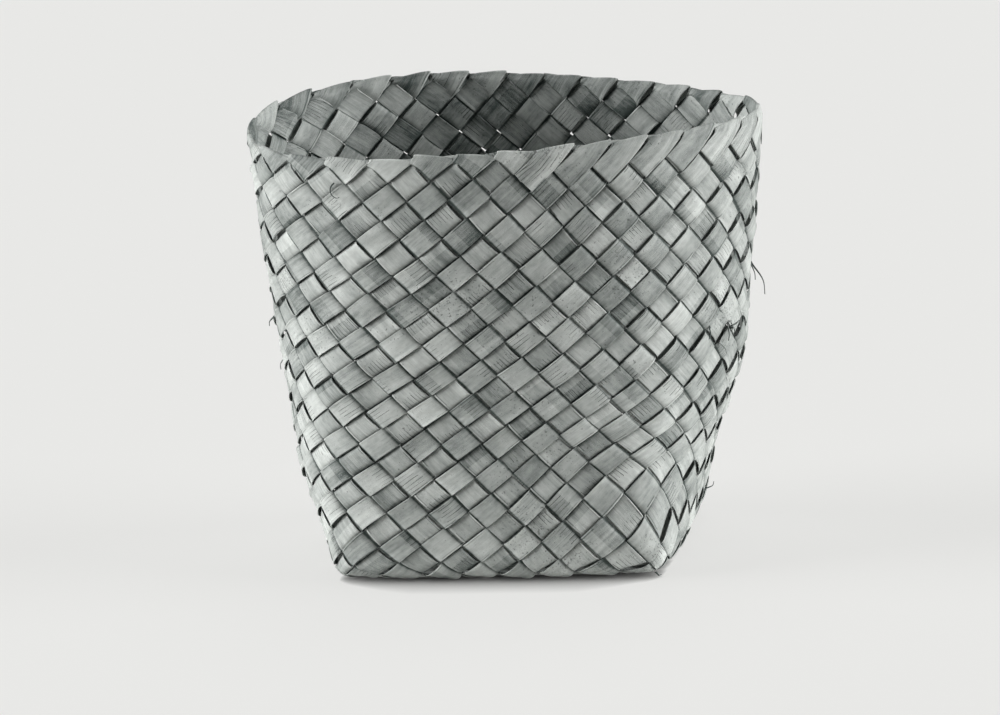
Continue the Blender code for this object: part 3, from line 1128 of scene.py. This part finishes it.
class Fibre(Enum):
    """Noise drawn out along the strip: its length and width in metres, its detail and its layer."""

    CLOUDS = (0.035, 0.010, 2.0, 0.0)
    GRAIN = (0.020, 0.00050, 3.0, 40.0)
    STREAKS = (0.040, 0.0015, 1.0, 80.0)
    WOBBLE = (0.014, 0.006, 1.0, 120.0)
    BREAKS = (0.011, 0.0016, 0.0, 160.0)
    RAGGED = (0.010, 0.0012, 0.0, 180.0)
    # Patches along the strip where the painted edge highlight and edge shade line show.
    EDGE_LIGHT = (0.018, 0.008, 0.0, 200.0)
    RIDGES = (0.070, 0.0026, 0.0, 220.0)
    MOTTLE = (0.0040, 0.0024, 2.0, 300.0)


@dataclass(frozen=True)
class DriedLeaf:
    """The finish of strips that are split from a broad dried leaf. Lengths are in metres."""

    pale: str = "#D6DAD6"
    deep: str = "#47504D"
    stain: str = "#1E2221"
    split_spacing: float = 0.0019
    split_wander: float = 0.0016
    speck_size: float = 0.0011
    patch_size: float = 1 / 28
    knot_spacing: float = 1 / 21
    ridge_height: float = 0.30 * MILLIMETRE
    # Painted shade on the faces inside the basket, as a share of the tone.
    inside_painted_shade: float = 0.175
    roughness: float = 0.62
    specular: float = 0.30

    def material(self) -> bpy.types.Material:
        """Builds the material from the "lie" and "cell" attributes of a strip.

        Returns:
            The material, whose grain runs lengthwise and whose tone changes from cell to cell.
        """
        # A leaf that dried flat is matt, with a faint sheen on the ridges of its fibres. The eye gets pale
        # streaks, dark splits and specks, and a duller tone at one end of some cells that another strip
        # covered. Painted shade darkens each cell towards the ends where it dives under its partner, and
        # every face that looks to the inside; a painted highlight and a painted shade line run along the
        # strip edges.
        made = bpy.data.materials.new("dried_leaf_strip")
        made.use_nodes = True
        graph = Graph(made.node_tree)
        pattern = LeafPattern(self, graph)
        colour = graph.add("ShaderNodeMix", pattern.tone(), data_type="RGBA").node
        graph.feed(colour.inputs[6], linear(self.deep))
        graph.feed(colour.inputs[7], linear(self.pale))
        marked = graph.add("ShaderNodeMix", pattern.marks(), data_type="RGBA").node
        graph.feed(marked.inputs[6], colour.outputs[2])
        graph.feed(marked.inputs[7], linear(self.stain))
        bump = graph.add("ShaderNodeBump", 0.7, self.ridge_height, named={"Height": pattern.height()})
        shader = made.node_tree.nodes["Principled BSDF"]
        graph.feed(shader.inputs["Base Color"], marked.outputs[2])
        graph.feed(shader.inputs["Roughness"], self.roughness)
        graph.feed(shader.inputs["Specular IOR Level"], self.specular)
        graph.feed(shader.inputs["Normal"], bump)
        return made


class LeafPattern:
    """The tones, marks and ridges of a dried leaf, from where a point lies on its strip."""

    STRIPS_APART = 7.31
    DRAWS_APART = 3.7

    def __init__(self, leaf: DriedLeaf, graph: Graph) -> None:
        """Reads where a point lies, and draws six numbers for its cell of the weave.

        Args:
            leaf: The finish that the pattern belongs to.
            graph: The node tree to build it in.
        """
        self.leaf = leaf
        self.add = add = graph.add
        lie = add("ShaderNodeAttribute", attribute_name="lie").node.outputs["Vector"]
        cell = add("ShaderNodeAttribute", attribute_name="cell").node.outputs["Vector"]
        self.along, self.across, self.strip = add("ShaderNodeSeparateXYZ", lie).node.outputs
        crossing, edge, _ = add("ShaderNodeSeparateXYZ", cell).node.outputs
        number = add("ShaderNodeMath.ROUND", crossing)
        phase = add("ShaderNodeMath.SUBTRACT", crossing, number)
        self.from_middle = add("ShaderNodeMath.ABSOLUTE", phase)
        self.edge = add("ShaderNodeMath.ABSOLUTE", edge)
        self.spots = add("ShaderNodeTexCoord").node.outputs["Object"]
        name = add("ShaderNodeCombineXYZ", number, self.strip)
        drawn = add("ShaderNodeTexWhiteNoise", name, noise_dimensions="2D").node.outputs["Color"]
        self.tone_draw, side_draw, border_draw = add("ShaderNodeSeparateColor", drawn).node.outputs
        name = add("ShaderNodeCombineXYZ", self.strip, number, self.DRAWS_APART)
        drawn = add("ShaderNodeTexWhiteNoise", name, noise_dimensions="3D").node.outputs["Color"]
        self.grain_draw, self.wear_draw, self.split_draw = add("ShaderNodeSeparateColor", drawn).node.outputs
        side = add("ShaderNodeMath.SIGN", add("ShaderNodeMath.SUBTRACT", side_draw, 0.5))
        self.turned = add("ShaderNodeMath.MULTIPLY", phase, side)
        self.border = add("ShaderNodeMath.MULTIPLY_ADD", border_draw, 0.55, -0.25)
        self.lane_shift = add("ShaderNodeMath.MULTIPLY", border_draw, 5.0)
        self.grain, self.streaks = self.fibre(Fibre.GRAIN), self.fibre(Fibre.STREAKS)
        self.split = self.splits()

    def fibre(self, kind: Fibre) -> Any:
        """Noise that is drawn out along the strip, and new on every strip.

        Args:
            kind: Its length, width, detail and layer.

        Returns:
            The socket of the noise, from -0.5 to 0.5.
        """
        length, width, detail, layer = kind.value
        x = self.add("ShaderNodeMath.DIVIDE", self.along, length)
        y = self.add("ShaderNodeMath.DIVIDE", self.across, width)
        z = self.add("ShaderNodeMath.MULTIPLY_ADD", self.strip, self.STRIPS_APART, layer)
        where = self.add("ShaderNodeCombineXYZ", x, y, z)
        drawn = self.add("ShaderNodeTexNoise", where, None, 1.0, detail)
        return self.add("ShaderNodeMath.SUBTRACT", drawn, 0.5)

    def ramp(self, value: Any, low: float, high: float) -> Any:
        """A ramp from 0 at low to 1 at high, which may fall as well as rise.

        Args:
            value: The socket to read.
            low: Its value where the ramp is 0.
            high: Its value where the ramp is 1.

        Returns:
            The socket of the ramp.
        """
        slope, start = 1 / (high - low), -low / (high - low)
        return self.add("ShaderNodeMath.MULTIPLY_ADD", value, slope, start, use_clamp=True)

    def summed(self, base: Any, *terms: tuple[Any, Any]) -> Any:
        """A value with weighted terms added to it one by one.

        Args:
            base: The value to start from.
            terms: Each term and its weight.

        Returns:
            The socket of the sum.
        """
        for term, weight in terms:
            base = self.add("ShaderNodeMath.MULTIPLY_ADD", term, weight, base)
        return base

    def tone(self) -> Any:
        """How pale the leaf is, painted shade and painted highlight included.

        Returns:
            The socket of the tone, from 0 for the deep colour to 1 for the pale one.
        """
        add = self.add
        strip_draw = add("ShaderNodeTexWhiteNoise", None, self.strip, noise_dimensions="1D")
        grainy = add("ShaderNodeMath.MULTIPLY", self.grain_draw, self.grain_draw)
        covered = add("ShaderNodeMath.GREATER_THAN", self.turned, self.border)
        marked = add("ShaderNodeMath.GREATER_THAN", self.wear_draw, 0.70)
        # Painted highlight on the outermost edge of a strip and a painted shade line just inside it, both in
        # patches along the strip.
        edge_light_patches = add("ShaderNodeMath.GREATER_THAN", self.fibre(Fibre.EDGE_LIGHT), 0.12)
        edge_highlight_band = add("ShaderNodeMath.GREATER_THAN", self.edge, 0.92)
        inner_line = add("ShaderNodeMath.LESS_THAN", self.edge, 0.90)
        edge_shade_line = add("ShaderNodeMath.MULTIPLY", self.ramp(self.edge, 0.80, 0.87), inner_line)
        return self.summed(
            0.60,
            (self.fibre(Fibre.CLOUDS), 0.85),
            (add("ShaderNodeMath.SUBTRACT", strip_draw, 0.5), 0.12),
            (add("ShaderNodeMath.SUBTRACT", self.tone_draw, 0.5), 0.40),
            (self.grain, self.summed(0.12, (grainy, 0.55))),
            (self.streaks, self.summed(0.08, (self.wear_draw, 0.40))),
            (self.fibre(Fibre.MOTTLE), 0.42),
            (add("ShaderNodeMath.MULTIPLY", covered, marked), -0.20),
            # Painted shade: each cell darkens towards its ends, and sharply just before it dives under its
            # partner.
            (add("ShaderNodeMath.MULTIPLY", self.from_middle, self.from_middle), -0.38),
            (self.ramp(self.from_middle, 0.44, 0.53), -0.75),
            (add("ShaderNodeMath.MULTIPLY", edge_light_patches, edge_highlight_band), 0.12),
            (add("ShaderNodeMath.MULTIPLY", edge_shade_line, edge_light_patches), -0.32),
            # Painted shade on every face that looks to the inside of the basket.
            (self.inside(), -self.leaf.inside_painted_shade),
        )

    def inside(self) -> Any:
        """Where a face looks to the inside of the basket, which takes painted shade.

        Returns:
            The socket of the share, 1 on the inside and 0 on the outside.
        """
        level = self.add("ShaderNodeVectorMath.MULTIPLY", self.spots, (1.0, 1.0, 0.0))
        face = self.add("ShaderNodeNewGeometry").node.outputs["True Normal"]
        facing = self.add("ShaderNodeVectorMath.DOT_PRODUCT", level, face).node.outputs["Value"]
        return self.ramp(facing, 0.005, -0.005)

    def splits(self) -> Any:
        """Short dark lines along the fibres, at one end of some cells.

        Returns:
            The socket of the lines, 1 on a line and 0 off it.
        """
        add, leaf = self.add, self.leaf
        lane = self.summed(self.across, (self.fibre(Fibre.WOBBLE), leaf.split_wander))
        lane = add("ShaderNodeMath.DIVIDE", lane, leaf.split_spacing)
        lane = add("ShaderNodeMath.FRACT", add("ShaderNodeMath.ADD", lane, self.lane_shift))
        from_line = add("ShaderNodeMath.ABSOLUTE", add("ShaderNodeMath.SUBTRACT", lane, 0.5))
        reach = self.summed(0.045, (self.fibre(Fibre.BREAKS), 0.20))
        line = add("ShaderNodeMath.LESS_THAN", from_line, reach)
        ragged = self.summed(self.border, (self.fibre(Fibre.RAGGED), 0.35))
        at_end = add("ShaderNodeMath.GREATER_THAN", self.turned, ragged)
        in_cell = add("ShaderNodeMath.GREATER_THAN", self.split_draw, 0.60)
        return add("ShaderNodeMath.MULTIPLY", add("ShaderNodeMath.MULTIPLY", line, at_end), in_cell)

    def marks(self) -> Any:
        """How strongly a point is stained by specks, knots and splits.

        Returns:
            The socket of the stain, from 0 to 1.
        """
        add, leaf = self.add, self.leaf
        speck = add("ShaderNodeTexNoise", self.spots, None, 1 / leaf.speck_size, 1.0)
        patchy = add("ShaderNodeTexNoise", self.spots, None, 1 / leaf.patch_size, 2.0)
        specks = self.ramp(self.summed(speck, (patchy, 0.55)), 0.96, 1.08)
        knots = self.ramp(add("ShaderNodeTexVoronoi", self.spots, None, 1 / leaf.knot_spacing), 0.034, 0.014)
        marks = 0.0
        for mark, strength in ((specks, 0.55), (knots, 0.6), (self.split, 0.85)):
            marks = add("ShaderNodeMath.MAXIMUM", marks, add("ShaderNodeMath.MULTIPLY", mark, strength))
        return marks

    def height(self) -> Any:
        """The relief of the fibres, for the bump.

        Returns:
            The socket of the height, in shares of the ridge height.
        """
        bold = self.add("ShaderNodeMath.POWER", self.wear_draw, 3.0)
        ridges = self.add("ShaderNodeMath.MULTIPLY", self.fibre(Fibre.RIDGES), bold)
        return self.summed(0.0, (self.grain, 0.35), (self.streaks, 0.35), (ridges, 2.4), (self.split, -0.7))


@dataclass
class Basket:
    """The whole weave: sixteen strips each way, every one a piece of its own."""

    shape: BasketShape = field(default_factory=BasketShape)
    sizes: StripSizes = field(default_factory=StripSizes)
    leaf: DriedLeaf = field(default_factory=DriedLeaf)

    def build(self) -> list[bpy.types.Object]:
        """Builds and dresses all strips.

        Returns:
            The finished pieces.
        """
        builder = StripBuilder()
        finish = self.leaf.material()
        pieces = []
        for corner in Corner:
            for place in range(self.shape.side_columns):
                strip = PlaitedStrip(self.shape, self.sizes, corner, place, len(pieces))
                piece = strip.ribbon()
                values = {"Thickness": self.sizes.thickness, "Seed": strip.number, "Finish": finish}
                builder.apply(piece, values)
                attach(piece, "root")
                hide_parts(strip.name)
                strip.name
                pieces.append(piece)
                LOG.info("%s: %d faces", piece.name, len(piece.data.polygons))
        return pieces


@dataclass(frozen=True)
class Lamp:
    """A far, soft lamp.

    Attributes:
        name: The lamp's name.
        azimuth: Where it stands, in degrees from the front towards the right.
        elevation: Its height above level, in degrees.
        strength: Its light in watts to the square metre.
        softness: Its apparent size in degrees.
    """

    name: str
    azimuth: float
    elevation: float
    strength: float
    softness: float


LAMPS = (
    Lamp("left_lamp", -80.0, 14.0, 4.4, 42.0),
    Lamp("right_lamp", 88.0, 10.0, 4.4, 42.0),
    Lamp("back_lamp", 178.0, 66.0, 0.80, 40.0),
)


def toward(azimuth: float, elevation: float) -> Vector:
    """The way from the basket to a lamp or to the camera.

    Args:
        azimuth: Degrees from the front towards the right.
        elevation: Degrees above level.

    Returns:
        The way, one unit long.
    """
    turn, lift = math.radians(azimuth), math.radians(elevation)
    return Vector((math.sin(turn) * math.cos(lift), -math.cos(turn) * math.cos(lift), math.sin(lift)))


@dataclass(frozen=True)
class Studio:
    """The pale paper, the three soft lamps, the light of the room and the camera.

    Attributes:
        floor_colour: The paper as the camera sees it.
        bounce_colour: The paper as it throws light up to the basket.
        table_colour: The table round the paper, which throws less.
        sheet_reach: How far the paper reaches from the middle.
        floor_glow: How strongly the paper glows.
        floor_share: How much of what the camera sees is that glow, and the rest is lit paper.
        contact_reach: How far the painted contact shadow spreads in front of the basket.
        contact_half: How far to each side it keeps its full spread.
        contact_least: What is left of the spread further out, as a share.
        floor_half: Half the side of the floor.
        azimuth: Where the camera stands, in degrees from the front towards the right.
        elevation: Its height above level, in degrees.
        roll: How far it is turned about its line of sight, in degrees.
        distance: How far it stands from its target.
        focal_pixels: The focal length in pixels of the picture.
        target_side: How far its target lies to the right of the middle.
        target_height: How far its target lies above the ground.
        room_light: The strength of the even light from all round.
    """

    floor_colour: str = "#EBEBE9"
    bounce_colour: str = "#F4F4F2"
    table_colour: str = "#4A4A48"
    sheet_reach: float = 0.36
    floor_glow: float = 0.985
    floor_share: float = 0.80
    contact_reach: float = 0.022
    contact_half: float = 0.042
    contact_least: float = 0.15
    floor_half: float = 12.0
    azimuth: float = 9.32
    elevation: float = 10.24
    roll: float = -2.89
    distance: float = 1.94
    focal_pixels: float = 3719.0
    target_side: float = -0.00760
    target_height: float = 0.0997
    room_light: float = 0.075

    def floor(self) -> None:
        """Builds the paper and the table that the basket stands on."""
        half = self.floor_half
        corners = [(-half, -half, 0), (half, -half, 0), (half, half, 0), (-half, half, 0)]
        mesh = bpy.data.meshes.new("paper_floor")
        mesh.from_pydata(corners, [], [(0, 1, 2, 3)])
        mesh.materials.append(self.paper())
        floor = bpy.data.objects.new("paper_floor", mesh)
        bpy.context.scene.collection.objects.link(floor)
        floor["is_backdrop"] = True

    def paper(self) -> bpy.types.Material:
        """Builds the material of the floor.

        Returns:
            The material: for the camera an even paper, for other rays a sheet on a darker table.
        """
        # Matt paper has no highlights. The eye gets an even pale ground that darkens only at contact, where
        # a contact shadow is painted into its glow.
        paper = bpy.data.materials.new("matt_paper")
        paper.use_nodes = True
        graph = Graph(paper.node_tree)
        paper.node_tree.nodes.remove(paper.node_tree.nodes["Principled BSDF"])
        rays = graph.add("ShaderNodeLightPath").node.outputs
        shown = graph.add("ShaderNodeMath.MAXIMUM", rays["Is Camera Ray"], rays["Is Glossy Ray"])
        shown = graph.add("ShaderNodeMath.MAXIMUM", shown, rays["Is Transmission Ray"])
        lit = graph.add("ShaderNodeBsdfDiffuse", linear(self.floor_colour))
        spot = graph.add("ShaderNodeTexCoord").node.outputs["Object"]
        aside = graph.add("ShaderNodeMath.ABSOLUTE", graph.add("ShaderNodeSeparateXYZ", spot))
        # Painted contact shadow: the glow darkens where the basket shuts out the surroundings, most in front
        # and less to the sides.
        most, least = self.contact_reach, self.contact_least * self.contact_reach
        reach = graph.add("ShaderNodeMapRange", aside, self.contact_half, 2 * self.contact_half, most, least)
        near = graph.add("ShaderNodeAmbientOcclusion", linear(self.floor_colour), reach)
        glow = graph.add("ShaderNodeEmission", near, self.floor_glow)
        pale = graph.add("ShaderNodeMixShader", self.floor_share, lit, glow)
        away = graph.add("ShaderNodeVectorMath.LENGTH", spot).node.outputs["Value"]
        beyond = graph.add("ShaderNodeMapRange", away, self.sheet_reach, 2 * self.sheet_reach)
        sheet = graph.add("ShaderNodeMix", beyond, data_type="RGBA").node
        graph.feed(sheet.inputs[6], linear(self.bounce_colour))
        graph.feed(sheet.inputs[7], linear(self.table_colour))
        dim = graph.add("ShaderNodeBsdfDiffuse", sheet.outputs[2])
        seen = graph.add("ShaderNodeMixShader", shown, dim, pale)
        graph.feed(paper.node_tree.nodes["Material Output"].inputs["Surface"], seen)
        return paper

    def lights(self) -> None:
        """Adds the lamps and the even light of the room."""
        for lamp in LAMPS:
            light = bpy.data.lights.new(lamp.name, "SUN")
            light.energy = lamp.strength
            light.angle = math.radians(lamp.softness)
            way = toward(lamp.azimuth, lamp.elevation)
            placed = bpy.data.objects.new(lamp.name, light)
            placed.rotation_euler = way.to_track_quat("Z", "Y").to_euler()
            bpy.context.scene.collection.objects.link(placed)
        world = bpy.data.worlds.new("room")
        world.use_nodes = True
        ground = world.node_tree.nodes["Background"]
        ground.inputs["Color"].default_value = linear("#FFFFFF")
        ground.inputs["Strength"].default_value = self.room_light
        bpy.context.scene.world = world

    def camera(self) -> None:
        """Sets the camera where the picture was taken from."""
        turn, roll = math.radians(self.azimuth), math.radians(self.roll)
        view = -toward(self.azimuth, self.elevation)
        right = Vector((math.cos(turn), math.sin(turn), 0.0))
        up = right.cross(view)
        side = right * math.cos(roll) + up * math.sin(roll)
        top = up * math.cos(roll) - right * math.sin(roll)
        along, back = self.target_side * math.cos(turn), self.target_side * math.sin(turn)
        target = Vector((along, back, self.target_height))
        lens = bpy.data.cameras.new("camera")
        lens.sensor_fit = "HORIZONTAL"
        lens.sensor_width = 36.0
        lens.lens = self.focal_pixels / PICTURE_WIDTH * lens.sensor_width
        lens.clip_end = 60.0
        camera = bpy.data.objects.new("camera", lens)
        frame_of = Matrix((side, top, -view)).transposed().to_4x4()
        frame_of.translation = target - view * self.distance
        camera.matrix_world = frame_of
        bpy.context.scene.collection.objects.link(camera)
        bpy.context.scene.camera = camera


def main() -> None:
    """Builds the studio and the basket, and notes the sizes of both models."""
    logging.basicConfig(level=logging.INFO, format="%(name)s: %(message)s")
    bpy.context.scene.view_settings.view_transform = "Standard"
    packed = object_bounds()
    studio = Studio()
    studio.camera()
    studio.floor()
    studio.lights()
    Basket().build()
    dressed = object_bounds()
    sizes = {"packed": [list(corner) for corner in packed], "dressed": [list(corner) for corner in dressed]}
    LOG.info("packed %s", sizes["packed"])
    LOG.info("dressed %s", sizes["dressed"])


if __name__ == "__main__":
    main()
